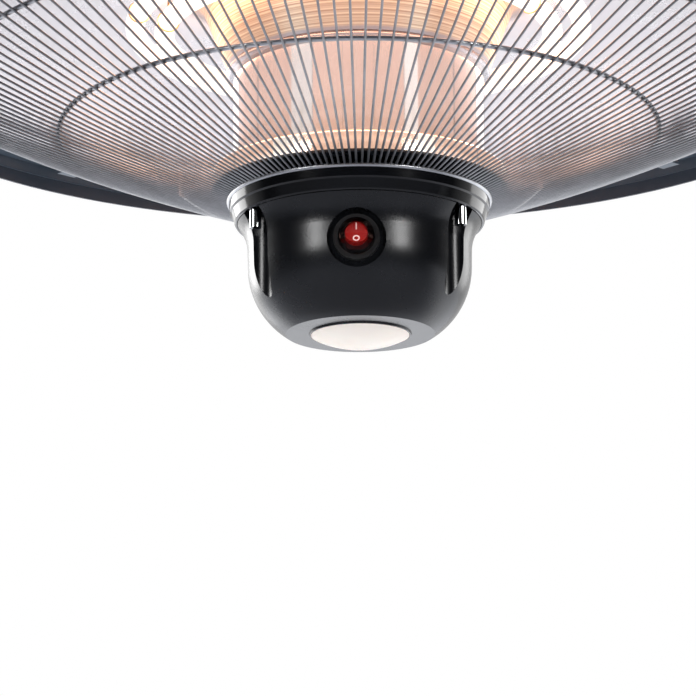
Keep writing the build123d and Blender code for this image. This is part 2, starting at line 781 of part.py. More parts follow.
clip_width = 12.0
clip_sheet = 1.0
clip_angles = (45, 135, 225, 315)
clip_hook = outer_ring_radius - outer_ring_wire - clip_sheet
_, clip_drop = on_wires(clip_hook, -wire_radius - touch)
clip_screw_margin = 14.5
clip_end_margin = 9.5
clip_screw_circle = shade_radius - clip_screw_margin
clip_end = shade_radius - clip_end_margin
clip_shelf = rim_ring_height - touch

ring_outside = outer_ring_radius + outer_ring_wire + side_gap
clip_profile = make_face(Polyline(
    (clip_hook, clip_drop - clip_sheet),
    (ring_outside + clip_sheet, clip_drop - clip_sheet),
    (ring_outside + clip_sheet, clip_shelf - clip_sheet),
    (clip_end, clip_shelf - clip_sheet),
    (clip_end, clip_shelf),
    (ring_outside, clip_shelf),
    (ring_outside, clip_drop),
    (clip_hook, clip_drop),
    close=True,
))
clip = extrude(Plane.XZ * clip_profile, amount=clip_width / 2, both=True)
clip -= rod(rim_screw_radius + slip, clip_shelf - clip_sheet, clip_shelf, clip_screw_circle)
save("guard_clips", group(around(clip, clip_angles)))
clip_low = clip_shelf - clip_sheet
rim_screws += around(Location((clip_screw_circle, 0, clip_low)) * rim_screw, clip_angles)
save("rim_screws", group(rim_screws))
clip_hole = rod(rim_screw_radius + slip, rim_ring_height, rim_ring_top + drill_over, clip_screw_circle)
for cut in around(clip_hole, clip_angles):
    rim_ring -= cut
    reflector -= cut
save("rim_ring", rim_ring)
save("reflector", reflector)


# Lamps: two quartz rings with their legs turned up through the reflector at the back

lamp_glass = 1.0
leg_rise = 5.0                # end of a leg above the reflector's highest part
leg_top = trough_height + leg_rise
filament_radius = 1.1
filament_disc_sheet = 0.5
filament_disc_step = 15.0
filament_end_gap = 4.0        # degrees between the filament's end and the bend
bracket_rise = 2.5
bracket_low = trough_height + bracket_rise
bracket_sheet = 1.2
bracket_width = 96.0
bracket_depth = 38.0
bracket_foot_radius = 4.0
bracket_foot_offset = 40.0
end_cap_radius = 6.3
end_cap_flange = 7.3
end_cap_flange_sheet = 2.0
end_cap_length = 15.4
end_cap_lift = 0.6            # above the reflector's highest part
end_cap_low = trough_height + end_cap_lift
end_cap_top = end_cap_low + end_cap_length
support_wire = 0.4
support_stem = 0.5
support_drop = 2.1            # below the reflector's highest part
support_top = trough_height - support_drop
support_foot_radius = 2.5
support_foot_sheet = 0.6
inner_support_angles = (-73.4, 61.6, 141.6)
outer_support_angles = (-73.4, 43.6, 151.6)


def ring_arc(radius, height, start, end):
    """Part of a level circle, from one angle round to a larger one."""
    middle = (start + end) / 2
    return ThreePointArc(place(radius, start, height), place(radius, middle, height),
                         place(radius, end, height))


def lamp_path(radius, height, offset):
    """One lamp's centre line: leg, bend, ring, bend, leg."""
    leg_turn = degrees(asin(offset / sqrt(radius ** 2 + leg_bend ** 2)) + atan(leg_bend / radius))
    start = 180 + leg_turn
    end = 540 - leg_turn
    bends = []
    for angle, sense in ((start, -1), (end, 1)):
        foot = Vector(*place(radius, angle, height))
        away = Vector(cos(radians(angle)), sin(radians(angle)), 0) * sense
        reach = leg_bend * sin(pi / 4)
        rise = leg_bend * (1 - cos(pi / 4))
        middle = foot + away * reach + Vector(0, 0, rise)
        upper = foot + away * leg_bend + Vector(0, 0, leg_bend)
        bends.append((foot, middle, upper))
    (foot_a, middle_a, upper_a), (foot_b, middle_b, upper_b) = bends
    top_a = Vector(upper_a.X, upper_a.Y, leg_top)
    top_b = Vector(upper_b.X, upper_b.Y, leg_top)
    ring_part = ring_arc(radius, height, start, end)
    lines = [Line(top_a, upper_a), ThreePointArc(upper_a, middle_a, foot_a), ring_part,
             ThreePointArc(foot_b, middle_b, upper_b), Line(upper_b, top_b)]
    return Wire([line.edge() for line in lines]), start, end


def lamp_support(radius, height):
    """A wire loop round the front of a lamp's tube, hung from a small foot."""
    loop_radius = lamp_tube_radius + support_wire + touch
    loop = Location((0, -radius, height)) * Rotation(0, 90, 0) * Torus(loop_radius, support_wire)
    stem = rod(support_stem, height + loop_radius, support_top, 0, -radius)
    foot = rod(support_foot_radius, support_top - support_foot_sheet, support_top, 0, -radius)
    return loop + stem + foot


supports = []
filaments = []
for name, radius, height, offset, angles in (
        ("inner", inner_lamp_radius, inner_lamp_height, inner_leg_offset, inner_support_angles),
        ("outer", outer_lamp_radius, outer_lamp_height, outer_leg_offset, outer_support_angles)):
    path, start, end = lamp_path(radius, height, offset)
    save("lamp_tube_" + name, tube(path, lamp_tube_radius, lamp_tube_radius - lamp_glass))
    first = start + filament_end_gap
    last = end - filament_end_gap
    filament = tube(ring_arc(radius, height, first, last), filament_radius)
    disc = Cylinder(lamp_tube_radius - lamp_glass - touch, filament_disc_sheet)
    disc = Location((0, -radius, height)) * Rotation(0, 90, 0) * disc
    disc_count = int((last - first) / filament_disc_step)
    disc_step = (last - first) / disc_count
    turns = [first + (index + 0.5) * disc_step for index in range(disc_count)]
    for extra in around(disc, turns):
        filament += extra
    filaments.append(filament)
    supports += around(lamp_support(radius, height), angles)
save("lamp_supports", group(supports))
save("filaments", group(filaments))

end_cap_seat = bracket_low + bracket_sheet
end_cap = rod(end_cap_radius, end_cap_low, end_cap_top)
end_cap += rod(end_cap_flange, end_cap_seat, end_cap_seat + end_cap_flange_sheet)
end_cap -= rod(lamp_tube_radius + touch, end_cap_low, leg_top + touch)
save("lamp_end_caps", group([Location((x, y, 0)) * end_cap for x, y in leg_places]))

bracket_middle = (leg_places[0][1] + leg_places[2][1]) / 2
lamp_bracket = slab(bracket_width, bracket_depth, bracket_low, end_cap_seat, 0, bracket_middle)
for x, y in leg_places:
    lamp_bracket -= rod(end_cap_radius + slip, bracket_low, end_cap_seat, x, y)
for side in (-1, 1):
    lamp_bracket += rod(bracket_foot_radius, trough_height + touch, bracket_low,
                        side * bracket_foot_offset, bracket_middle)
save("lamp_bracket", lamp_bracket)


# Leads from the lamps to the terminal block under the cap, and the thermal cut-out

lead_radius = 1.1
lead_bend = 4.0
lead_drop = 13.0              # level run below the shade's top
lead_rise = 9.0               # and above it
lead_level = shade_top_height - lead_drop
lead_top = shade_top_height + lead_rise
lead_pitch = 9.0
block_width = 46.0
block_depth = 12.0
block_height = 14.0
block_middle = 20.0
block_screw_radius = 1.8
block_screw_head = 1.2
block_screw_pitch = 7.5
block_screw_count = 6
cutout_radius = 8.0
cutout_height = 7.0
cutout_offset = 50.0

block_back = block_middle + block_depth / 2
lead_places = (-0.5, 0.5, -1.5, 1.5)
leads = []
for (x, y), lead_place in zip(leg_places, lead_places):
    end_x = lead_place * lead_pitch
    route = FilletPolyline(
        (x, y, end_cap_top), (x, y, lead_level), (end_x, lead_slot_circle, lead_level),
        (end_x, lead_slot_circle, lead_top), (end_x, block_back, lead_top), radius=lead_bend)
    leads.append(tube(route, lead_radius))
save("terminal_block", slab(block_width, block_depth, shade_top_height,
                            shade_top_height + block_height, 0, block_middle))
block_top = shade_top_height + block_height
block_screw = rod(block_screw_radius, block_top, block_top + block_screw_head, 0, block_middle)
block_row = [index - (block_screw_count - 1) / 2 for index in range(block_screw_count)]
save("terminal_screws", group([Location((step * block_screw_pitch, 0, 0)) * block_screw
                               for step in block_row]))
save("thermal_cutout", rod(cutout_radius, shield_top, shield_top + cutout_height, -cutout_offset))

switch_lead_radius = 0.9
switch_lead_bend = 2.5
switch_lead_near = 5.0        # where the two leads turn up, behind the terminals
switch_lead_far = 11.0
terminal_end = switch_seat - switch_depth - switch_terminal_length
for row, turn_depth in ((1, switch_lead_near), (-1, switch_lead_far)):
    level = switch_height + row * switch_terminal_pitch
    route = FilletPolyline((0, -terminal_end, level), (0, turn_depth - terminal_end, level),
                           (0, turn_depth - terminal_end, board_height), radius=switch_lead_bend)
    leads.append(tube(route, switch_lead_radius))
save("leads", group(leads))


# Top cap over the terminals, and the cable gland in its back wall

cap_radius = 62.0
cap_flange_radius = 70.0
cap_flange_sheet = 2.0
cap_round = 6.0
cap_screw_circle = 66.0
cap_screw_radius = 1.9
cap_screw_head = 3.5
cap_screw_head_height = 2.2
cap_screw_length = 7.0
cap_screw_socket_radius = 1.5
cap_screw_socket_depth = 1.3
cap_screw_angles = evenly(4, 45)
gland_thread = 8.0
gland_bore = 4.6
gland_flats = 18.0
gland_boss_radius = 10.0
gland_tail = 7.0              # thread inside the cap
gland_hex = 5.0
gland_neck = 7.0
gland_nut_length = 14.0
gland_nut_radius = 10.0
gland_mouth = 4.5
gland_seal_radius = 6.6
gland_seal_bore = 4.0
gland_seal_length = 10.0
gland_seal_step = 1.0         # the seal stands this far in the body
gland_seal_room = 1.5
gland_locknut_sheet = 5.0
gland_boss_depth = 4.5        # cap's outside in to the flat that the locknut bears on
gland_locknut_seat = cap_radius - gland_boss_depth

round_reach = cap_round * sin(pi / 4)
outer_mid = (cap_radius - cap_round + round_reach, cap_top - cap_round + round_reach)
inner_round = cap_round - cap_wall
inner_reach = inner_round * sin(pi / 4)
inner_mid = (cap_radius - cap_round + inner_reach, cap_top - cap_round + inner_reach)
cap_points = [
    (cap_flange_radius, shade_top_height),
    (cap_flange_radius, shade_top_height + cap_flange_sheet),
    (cap_radius, shade_top_height + cap_flange_sheet),
    (cap_radius, cap_top - cap_round),
]
cap_lines = [Line(a, b) for a, b in zip(cap_points, cap_points[1:])]
cap_lines += [
    ThreePointArc(cap_points[-1], outer_mid, (cap_radius - cap_round, cap_top)),
    Line((cap_radius - cap_round, cap_top), (hole_radius, cap_top)),
    Line((hole_radius, cap_top), (hole_radius, cap_top - cap_wall)),
    Line((hole_radius, cap_top - cap_wall), (cap_radius - cap_round, cap_top - cap_wall)),
    ThreePointArc((cap_radius - cap_round, cap_top - cap_wall), inner_mid,
                  (cap_radius - cap_wall, cap_top - cap_round)),
    Line((cap_radius - cap_wall, cap_top - cap_round), (cap_radius - cap_wall, shade_top_height)),
    Line((cap_radius - cap_wall, shade_top_height), cap_points[0]),
]
top_cap = turned_lines(cap_lines)


def facing_back(shape, height, distance):
    """Turn a shape made along +Z so that it points out of the back."""
    return Location((0, distance, height)) * Rotation(-90, 0, 0) * shape


gland_height = shade_top_height + cap_flange_sheet + side_gap + gland_flats / 2
gland_boss = rod(gland_boss_radius, gland_locknut_seat - cap_radius, 0)
top_cap += facing_back(gland_boss, gland_height, cap_radius)
gland_hole = rod(gland_thread + slip, -gland_boss_depth - drill_over, drill_over)
top_cap -= facing_back(gland_hole, gland_height, cap_radius)
cap_screw_low = shade_top_height - drill_over
cap_screw_hole = rod(cap_screw_radius + slip, cap_screw_low, cap_top, 0, -cap_screw_circle)
for cut in around(cap_screw_hole, cap_screw_angles):
    top_cap -= cut
    shade -= cut
save("top_cap", top_cap)
save("shade", shade)
cap_screw_seat = shade_top_height + cap_flange_sheet
cap_head_top = cap_screw_seat + cap_screw_head_height
cap_screw = rod(cap_screw_radius, cap_screw_seat - cap_screw_length, cap_screw_seat)
cap_screw += rod(cap_screw_head, cap_screw_seat, cap_head_top)
cap_screw -= rod(cap_screw_socket_radius, cap_head_top - cap_screw_socket_depth, cap_head_top)
cap_screw = Location((0, -cap_screw_circle, 0)) * cap_screw
save("cap_screws", group(around(cap_screw, cap_screw_angles)))

hex_face = cap_radius + touch
neck_face = hex_face + gland_hex
seal_pocket = gland_seal_radius + slip
gland_low = gland_locknut_seat - gland_tail - hex_face
gland_high = gland_hex + gland_neck
gland_body = rod(gland_thread, gland_low, 0)
gland_body += hexagon(gland_flats, 0, gland_hex)
gland_body += rod(gland_thread, gland_hex, gland_high)
gland_body -= rod(gland_bore, gland_low, gland_high)
gland_body -= rod(seal_pocket, gland_hex + gland_seal_step, gland_high)
save("gland_body", facing_back(gland_body, gland_height, hex_face))
locknut = hexagon(gland_flats, -gland_locknut_sheet, 0)
locknut -= rod(gland_thread + touch, -gland_locknut_sheet, 0)
save("gland_locknut", facing_back(locknut, gland_height, gland_locknut_seat))
gland_nut = rod(gland_nut_radius, 0, gland_nut_length)
gland_nut &= hexagon(gland_flats, 0, gland_nut_length)
gland_nut -= rod(gland_thread + slip, 0, gland_neck + slip)
gland_nut -= rod(gland_mouth, 0, gland_nut_length)
gland_nut -= rod(seal_pocket, 0, gland_seal_length + gland_seal_room)
save("gland_nut", facing_back(gland_nut, gland_height, neck_face + slip))
gland_seal = ring(gland_seal_bore, gland_seal_radius, 0, gland_seal_length)
save("gland_seal", facing_back(gland_seal, gland_height, neck_face + gland_seal_step))


# Hanger plate on the cap, and the folding bail that the heater hangs by

ear_sheet = 3.0
ear_outer = 37.0
ear_radius = 11.5
hanger_depth = 34.0
hanger_corner = 5.0
pin_radius = 3.0
leg_width = 20.0
bail_corner = 14.0
bolt_head_radius = 5.2
bolt_head_height = 3.6
bolt_socket_radius = 1.9
bolt_socket_floor = 1.2
bolt_end = 1.0                # thread standing out of the nut
bolt_nut_flats = 10.0
bolt_nut_height = 4.8
washer_radius = 6.4
washer_sheet = 0.8


def along_x(shape, x):
    """Turn a shape made along +Z to point along +X, at the bail's pivot."""
    return Location((x, 0, pivot_height)) * Rotation(0, 90, 0) * shape


hanger_width = 2 * ear_outer
hanger = extrude(RectangleRounded(hanger_width, hanger_depth, hanger_corner), amount=hanger_sheet)
hanger = Location((0, 0, cap_top)) * hanger
ear_inner = ear_outer - ear_sheet
for side in (-1, 1):
    ear_x = side * (ear_inner + ear_sheet / 2)
    hanger += slab(ear_sheet, 2 * ear_radius, cap_top, pivot_height, ear_x)
    hanger += along_x(Cylinder(ear_radius, ear_sheet), ear_x)
    hanger -= along_x(Cylinder(pin_radius + touch, ear_sheet), ear_x)
hanger -= rod(hole_radius, cap_top, hanger_top)
save("hanger_plate", hanger)

leg_outer = bail_width / 2
leg_inner = leg_outer - bail_sheet
leg_middle = (leg_outer + leg_inner) / 2
bail_face = RectangleRounded(bail_width, 2 * bail_rise, bail_corner)
bail_face -= RectangleRounded(bail_width - 2 * bail_sheet, 2 * (bail_rise - bail_sheet),
                              bail_corner - bail_sheet)
bail = extrude(Plane.XZ * bail_face, amount=leg_width / 2, both=True)
bail &= slab(bail_width, leg_width, 0, bail_rise)
bail = Location((0, 0, pivot_height)) * bail
for side in (-1, 1):
    bail += along_x(Cylinder(leg_width / 2, bail_sheet), side * leg_middle)
    bail -= along_x(Cylinder(pin_radius + running_gap, bail_sheet), side * leg_middle)
bail -= rod(bail_eye_radius, bail_top - bail_sheet, bail_top)
save("hanging_bail", bail)

bolt_length = leg_outer + side_gap - ear_inner + bolt_nut_height + bolt_end
bolt = rod(pin_radius, -bolt_length, 0) + rod(bolt_head_radius, 0, bolt_head_height)
bolt -= rod(bolt_socket_radius, bolt_socket_floor, bolt_head_height)
bolt_seat = leg_outer + side_gap
bolt = along_x(bolt, bolt_seat)
nut = hexagon(bolt_nut_flats, 0, bolt_nut_height) - rod(pin_radius + touch, 0, bolt_nut_height)
nut = along_x(nut, ear_inner - bolt_nut_height)
washer_gap = (leg_inner - ear_outer - washer_sheet) / 2
washer = along_x(ring(pin_radius + slip, washer_radius, 0, washer_sheet), ear_outer + washer_gap)
save("bail_bolts", group(around(bolt, (0, 180))))
save("bail_nuts", group(around(nut, (0, 180))))
save("bail_washers", group(around(washer, (0, 180))))
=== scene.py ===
"""Looks of the hanging ring-lamp patio heater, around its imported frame.

The file follows the heater as it is put together: the bowl and what is in it, the guard,
the column, reflector and lamps, the shade, and the gear that it hangs by. The studio and
the camera come last.
"""
import bpy
from math import cos, pi, radians, sin
from mathutils import Matrix, Vector

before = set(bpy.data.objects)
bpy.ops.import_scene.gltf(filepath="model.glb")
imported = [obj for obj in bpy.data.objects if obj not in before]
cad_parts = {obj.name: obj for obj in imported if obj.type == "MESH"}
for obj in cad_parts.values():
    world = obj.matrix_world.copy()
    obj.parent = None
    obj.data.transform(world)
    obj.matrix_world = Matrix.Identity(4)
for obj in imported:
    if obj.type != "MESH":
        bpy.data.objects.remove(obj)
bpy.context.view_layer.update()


# Bowl and collar. Injection-moulded black plastic: the bowl has a fine satin grain and the
# collar a high gloss. The bowl carries the switch, the boards and the lens, and three long
# screws pull it up into the collar.

bowl_black = (0.0018, 0.0023, 0.0036, 1)
bowl_marked = (0.0035, 0.0042, 0.006, 1)
collar_black = (0.002, 0.0022, 0.0028, 1)


def fill(node, values):
    """Sets the free sockets of a node."""
    for socket, value in values.items():
        node.inputs[socket].default_value = value


def node_at(tree, kind, x, y, values=None, **settings):
    """A node of a shader tree, with its settings and the values of its free sockets."""
    node = tree.nodes.new(kind)
    node.location = (x, y)
    for key, value in settings.items():
        setattr(node, key, value)
    fill(node, values or {})
    return node


def join(tree, links):
    """Links sockets, each link given as node, output, node, input."""
    for source, output, target, socket in links:
        tree.links.new(source.outputs[output], target.inputs[socket])


def found(tree, kind):
    """The first node of a kind in a tree."""
    return next(node for node in tree.nodes if node.type == kind)


def group_tree(name, inputs, outputs):
    """An empty node group with named sockets: (name, kind, default) and (name, kind)."""
    tree = bpy.data.node_groups.new(name, "ShaderNodeTree")
    for label, kind, value in inputs:
        socket = tree.interface.new_socket(label, in_out="INPUT", socket_type=kind)
        if value is not None:
            socket.default_value = value
    for label, kind in outputs:
        tree.interface.new_socket(label, in_out="OUTPUT", socket_type=kind)
    source = node_at(tree, "NodeGroupInput", -900, 0)
    sink = node_at(tree, "NodeGroupOutput", 700, 0)
    return tree, source, sink


finish_outputs = [("Color", "NodeSocketColor"), ("Roughness", "NodeSocketFloat"),
                  ("Height", "NodeSocketFloat")]


def make_skin_group():
    """Grain and wear of a moulded or painted skin."""
    tree, source, sink = group_tree("skin", [
        ("Vector", "NodeSocketVector", None),
        ("Fresh", "NodeSocketColor", (0.5, 0.5, 0.5, 1)),
        ("Worn", "NodeSocketColor", (0.6, 0.6, 0.6, 1)),
        ("Smooth", "NodeSocketFloat", 0.2),
        ("Dull", "NodeSocketFloat", 0.4),
        ("Grain Scale", "NodeSocketFloat", 900.0),
        ("Wear Scale", "NodeSocketFloat", 14.0),
    ], finish_outputs)
    grain = node_at(tree, "ShaderNodeTexNoise", -600, -250, {"Detail": 2.0})
    wear = node_at(tree, "ShaderNodeTexNoise", -600, 150, {"Detail": 7.0, "Roughness": 0.65})
    mask = node_at(tree, "ShaderNodeMapRange", -350, 150, {"From Min": 0.42, "From Max": 0.72})
    colour = node_at(tree, "ShaderNodeMix", 0, 250, data_type="RGBA")
    dull = node_at(tree, "ShaderNodeMapRange", 0, 0)
    height = node_at(tree, "ShaderNodeMath", 0, -250, {1: 0.8}, operation="MULTIPLY_ADD")
    join(tree, [
        (source, "Vector", grain, "Vector"),
        (source, "Vector", wear, "Vector"),
        (source, "Grain Scale", grain, "Scale"),
        (source, "Wear Scale", wear, "Scale"),
        (wear, "Fac", mask, "Value"),
        (mask, "Result", colour, "Factor"),
        (source, "Fresh", colour, "A"),
        (source, "Worn", colour, "B"),
        (mask, "Result", dull, "Value"),
        (source, "Smooth", dull, "To Min"),
        (source, "Dull", dull, "To Max"),
        (grain, "Fac", height, 0),
        (wear, "Fac", height, 2),
        (colour, "Result", sink, "Color"),
        (dull, "Result", sink, "Roughness"),
        (height, "Value", sink, "Height"),
    ])
    return tree


skin_group = make_skin_group()


def finished(name, group, values, own_values, bump, depth):
    """A material whose colour, roughness and relief come from a finish group."""
    material = bpy.data.materials.new(name)
    material.use_nodes = True
    tree = material.node_tree
    shader = tree.nodes["Principled BSDF"]
    shader.location = (300, 0)
    fill(shader, own_values)
    place = node_at(tree, "ShaderNodeTexCoord", -900, 0)
    finish = node_at(tree, "ShaderNodeGroup", -300, 0, values, node_tree=group)
    join(tree, [
        (place, "Object", finish, "Vector"),
        (finish, "Color", shader, "Base Color"),
        (finish, "Roughness", shader, "Roughness"),
    ])
    add_bump(tree, shader, finish, bump, depth)
    return material


def add_bump(tree, shader, relief, strength, depth):
    """Relief on a shader, from the height that a node puts out."""
    bump = node_at(tree, "ShaderNodeBump", 50, -300, {"Strength": strength, "Distance": depth})
    join(tree, [(relief, "Height", bump, "Height"), (bump, "Normal", shader, "Normal")])


def skinned(name, fresh, worn, smooth, dull, grain_scale=900.0, wear_scale=14.0,
            bump=0.15, depth=0.0002, values=None):
    """A moulded or painted finish with grain and wear."""
    skin = {"Fresh": fresh, "Worn": worn, "Smooth": smooth, "Dull": dull,
            "Grain Scale": grain_scale, "Wear Scale": wear_scale}
    return finished(name, skin_group, skin, values or {}, bump, depth)


def dress(material, *names):
    """Gives CAD pieces their finish."""
    for name in names:
        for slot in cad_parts[name].material_slots:
            slot.material = material


satin_black = skinned("black satin moulding", bowl_black, bowl_marked, 0.26, 0.29, grain_scale=1500.0,
                      wear_scale=40.0, bump=0.25, depth=0.0001, values={"Specular IOR Level": 0.34})
gloss_black = skinned("black gloss moulding", collar_black, bowl_marked, 0.1, 0.16, grain_scale=700.0,
                      wear_scale=18.0, bump=0.04, depth=0.0001, values={"Specular IOR Level": 0.35})
dress(satin_black, "bowl", "lens_ring")
dress(gloss_black, "collar")


# Lens. Frosted, slightly domed polycarbonate, dropped into the bowl's opening from above
# and held by a ring; the downlight behind it is faintly warm.

lens_milk = (0.84, 0.7, 0.64, 1)
lens_shade = (0.79, 0.64, 0.58, 1)
downlight_warm = (1.0, 0.78, 0.66, 1)
frosted = skinned("frosted lens", lens_milk, lens_shade, 0.35, 0.5, grain_scale=2500.0,
                  wear_scale=30.0, bump=0.3, depth=0.0001,
                  values={"Subsurface Weight": 0.3, "Emission Color": downlight_warm,
                          "Emission Strength": 0.17})
dress(frosted, "lens")


# Boards in the bowl. The lens board carries the warm emitters and the control board the
# two relays; both are green glass-fibre laminate held by the same small screws.

board_green = (0.02, 0.1, 0.045, 1)
board_pale = (0.04, 0.16, 0.07, 1)
phosphor_yellow = (0.9, 0.75, 0.3, 1)
phosphor_deep = (0.8, 0.62, 0.25, 1)
relay_blue = (0.02, 0.03, 0.06, 1)
relay_scuffed = (0.05, 0.06, 0.09, 1)
laminate = skinned("board laminate", board_green, board_pale, 0.35, 0.5, grain_scale=1500.0,
                   wear_scale=90.0, bump=0.3)
emitter_glow = skinned("emitter phosphor", phosphor_yellow, phosphor_deep, 0.4, 0.6,
                       values={"Emission Color": (1.0, 0.8, 0.5, 1), "Emission Strength": 0.6})
relay_case = skinned("relay case", relay_blue, relay_scuffed, 0.35, 0.5, bump=0.2)
dress(laminate, "led_board", "control_board")
dress(emitter_glow, "led_emitters")
dress(relay_case, "relays", "thermal_cutout")


# Switch. A round panel rocker in a black housing: a red rocker with two printed marks, both
# given a faint painted glow, a clear soft boot over it and the black ring that clamps the boot to the
# bezel.

switch_dark = (0.012, 0.012, 0.013, 1)
switch_scuffed = (0.03, 0.03, 0.03, 1)
rocker_red = (0.3, 0.005, 0.004, 1)
rocker_worn = (0.36, 0.01, 0.008, 1)
mark_pale = (0.95, 0.85, 0.83, 1)
mark_worn = (0.85, 0.74, 0.72, 1)
window_tint = (1.0, 0.97, 0.96, 1)
window_worn = (0.92, 0.86, 0.84, 1)
# Painted shade: the rocker's receding sides as seen through the boot's flank.
flank_painted_shade = (0.17, 0.09, 0.075, 1)
brass_bright = (0.62, 0.44, 0.16, 1)
brass_dark = (0.45, 0.32, 0.14, 1)
switch_axis_height = -0.28105
window_radius = 0.0059
window_edge = 0.0004
switch_black = skinned("black switch moulding", switch_dark, switch_scuffed, 0.3, 0.42,
                       grain_scale=1800.0, bump=0.25)
# The rocker's red is lifted by a faint painted glow; the rocker is no lamp.
red_plastic_painted_glow = skinned("red rocker", rocker_red, rocker_worn, 0.16, 0.25, grain_scale=1200.0,
                      wear_scale=60.0, bump=0.08,
                      values={"Emission Color": (0.6, 0.006, 0.005, 1), "Emission Strength": 0.12,
                              "Specular IOR Level": 0.15})
# The printed marks carry a faint pinkish painted glow.
mark_white_painted_glow = skinned("printed mark", mark_pale, mark_worn, 0.4, 0.5, wear_scale=200.0, bump=0.1,
                     values={"Emission Color": (1.0, 0.62, 0.6, 1), "Emission Strength": 0.3})
boot_clear = skinned("clear boot", window_tint, window_worn, 0.05, 0.12, grain_scale=600.0,
                     wear_scale=80.0, bump=0.06, values={"Transmission Weight": 1.0, "IOR": 1.2})
brass = skinned("brass contact", brass_bright, brass_dark, 0.25, 0.4, bump=0.1,
                values={"Metallic": 1.0})


def paint_flank_shade(material):
    """The boot is clear over the rocker; round its flank a smoky red-brown is painted shade of the
    rocker's receding sides.
    """
    tree = material.node_tree
    shader = found(tree, "BSDF_PRINCIPLED")
    skin = found(tree, "GROUP")
    place = found(tree, "TEX_COORD")
    aside = node_at(tree, "ShaderNodeVectorMath", -700, 300, {1: (0, 0, switch_axis_height)},
                    operation="SUBTRACT")
    across = node_at(tree, "ShaderNodeVectorMath", -550, 300, {1: (1, 0, 1)}, operation="MULTIPLY")
    radius = node_at(tree, "ShaderNodeVectorMath", -400, 300, operation="LENGTH")
    flank = node_at(tree, "ShaderNodeMapRange", -250, 300,
                    {"From Min": window_radius, "From Max": window_radius + window_edge})
    flank_shading = node_at(tree, "ShaderNodeMix", -50, 300, {"B": flank_painted_shade}, data_type="RGBA")
    join(tree, [
        (place, "Object", aside, 0),
        (aside, "Vector", across, 0),
        (across, "Vector", radius, 0),
        (radius, "Value", flank, "Value"),
        (flank, "Result", flank_shading, "Factor"),
        (skin, "Color", flank_shading, "A"),
        (flank_shading, "Result", shader, "Base Color"),
    ])


paint_flank_shade(boot_clear)
dress(switch_black, "switch_housing", "switch_boot_ring")
dress(red_plastic_painted_glow, "switch_rocker")
dress(mark_white_painted_glow, "rocker_marks")
dress(boot_clear, "switch_boot")
dress(brass, "switch_terminals", "terminal_screws")


# Screws, nuts and brackets. Turned or pressed mild steel: the three long bowl screws are
# chrome plated, and most others, with the tube, the brackets and the bail, are bright zinc
# with a faint crystalline bloom.

def make_streak_group():
    """Drawn or rolled streaks along one direction of stretched noise, under a soft bloom."""
    tree, source, sink = group_tree("streaks", [
        ("Vector", "NodeSocketVector", None),
        ("Light", "NodeSocketColor", (0.7, 0.7, 0.7, 1)),
        ("Dark", "NodeSocketColor", (0.5, 0.5, 0.5, 1)),
        ("Smooth", "NodeSocketFloat", 0.15),
        ("Dull", "NodeSocketFloat", 0.35),
        ("Stretch", "NodeSocketVector", (1.0, 1.0, 1.0)),
        ("Streak Scale", "NodeSocketFloat", 400.0),
    ], finish_outputs)
    stretch = node_at(tree, "ShaderNodeVectorMath", -700, 0, operation="MULTIPLY")
    streak = node_at(tree, "ShaderNodeTexNoise", -500, 0, {"Detail": 5.0})
    bloom = node_at(tree, "ShaderNodeTexNoise", -500, 250, {"Scale": 35.0, "Detail": 6.0})
    both = node_at(tree, "ShaderNodeMath", -250, 120, {1: 0.6}, operation="MULTIPLY_ADD")
    mask = node_at(tree, "ShaderNodeMapRange", -50, 120, {"From Min": 0.55, "From Max": 1.05})
    colour = node_at(tree, "ShaderNodeMix", 200, 250, data_type="RGBA")
    dull = node_at(tree, "ShaderNodeMapRange", 200, 0)
    join(tree, [
        (source, "Vector", stretch, 0),
        (source, "Stretch", stretch, 1),
        (stretch, "Vector", streak, "Vector"),
        (source, "Streak Scale", streak, "Scale"),
        (source, "Vector", bloom, "Vector"),
        (streak, "Fac", both, 0),
        (bloom, "Fac", both, 2),
        (both, "Value", mask, "Value"),
        (mask, "Result", colour, "Factor"),
        (source, "Light", colour, "A"),
        (source, "Dark", colour, "B"),
        (mask, "Result", dull, "Value"),
        (source, "Smooth", dull, "To Min"),
        (source, "Dull", dull, "To Max"),
        (colour, "Result", sink, "Color"),
        (dull, "Result", sink, "Roughness"),
        (streak, "Fac", sink, "Height"),
    ])
    return tree


streak_group = make_streak_group()


def streaked(name, light, dark, smooth, dull, stretch=(1, 1, 1), scale=400.0, bump=0.1,
             depth=0.0001):
    """A bare or plated metal finish."""
    streaks = {"Light": light, "Dark": dark, "Smooth": smooth, "Dull": dull,
               "Stretch": stretch, "Streak Scale": scale}
    return finished(name, streak_group, streaks, {"Metallic": 1.0}, bump, depth)


chrome_bright = (0.82, 0.82, 0.83, 1)
chrome_dark = (0.7, 0.7, 0.72, 1)
zinc_bright = (0.66, 0.66, 0.66, 1)
zinc_dark = (0.5, 0.5, 0.52, 1)
chrome = streaked("chrome plate", chrome_bright, chrome_dark, 0.04, 0.09, stretch=(1, 1, 0.2), bump=0.04)
zinc = streaked("bright zinc", zinc_bright, zinc_dark, 0.22, 0.42, bump=0.15)
dress(chrome, "bowl_screws")
dress(zinc, "board_screws", "bowl_nuts", "spine_tube", "spine_nuts", "lamp_bracket", "cap_screws",
      "hanger_plate", "hanging_bail", "bail_bolts", "bail_nuts", "bail_washers")


# Base plate and rim ring. Thin stove-enamelled steel: the plate, black, is clamped over the
# guard's inner ring, and the slate ring lines the shade's rim with its clips and screws.

plate_black = (0.006, 0.008, 0.012, 1)
plate_worn = (0.012, 0.015, 0.02, 1)
rim_slate = (0.075, 0.098, 0.13, 1)
rim_worn = (0.083, 0.108, 0.143, 1)
plate_enamel = skinned("black enamel", plate_black, plate_worn, 0.25, 0.4, grain_scale=500.0)
rim_enamel = skinned("slate enamel", rim_slate, rim_worn, 0.4, 0.5, grain_scale=500.0,
                     values={"Specular IOR Level": 0.2})
dress(plate_enamel, "base_plate")
dress(rim_enamel, "rim_ring", "guard_clips", "rim_screws")
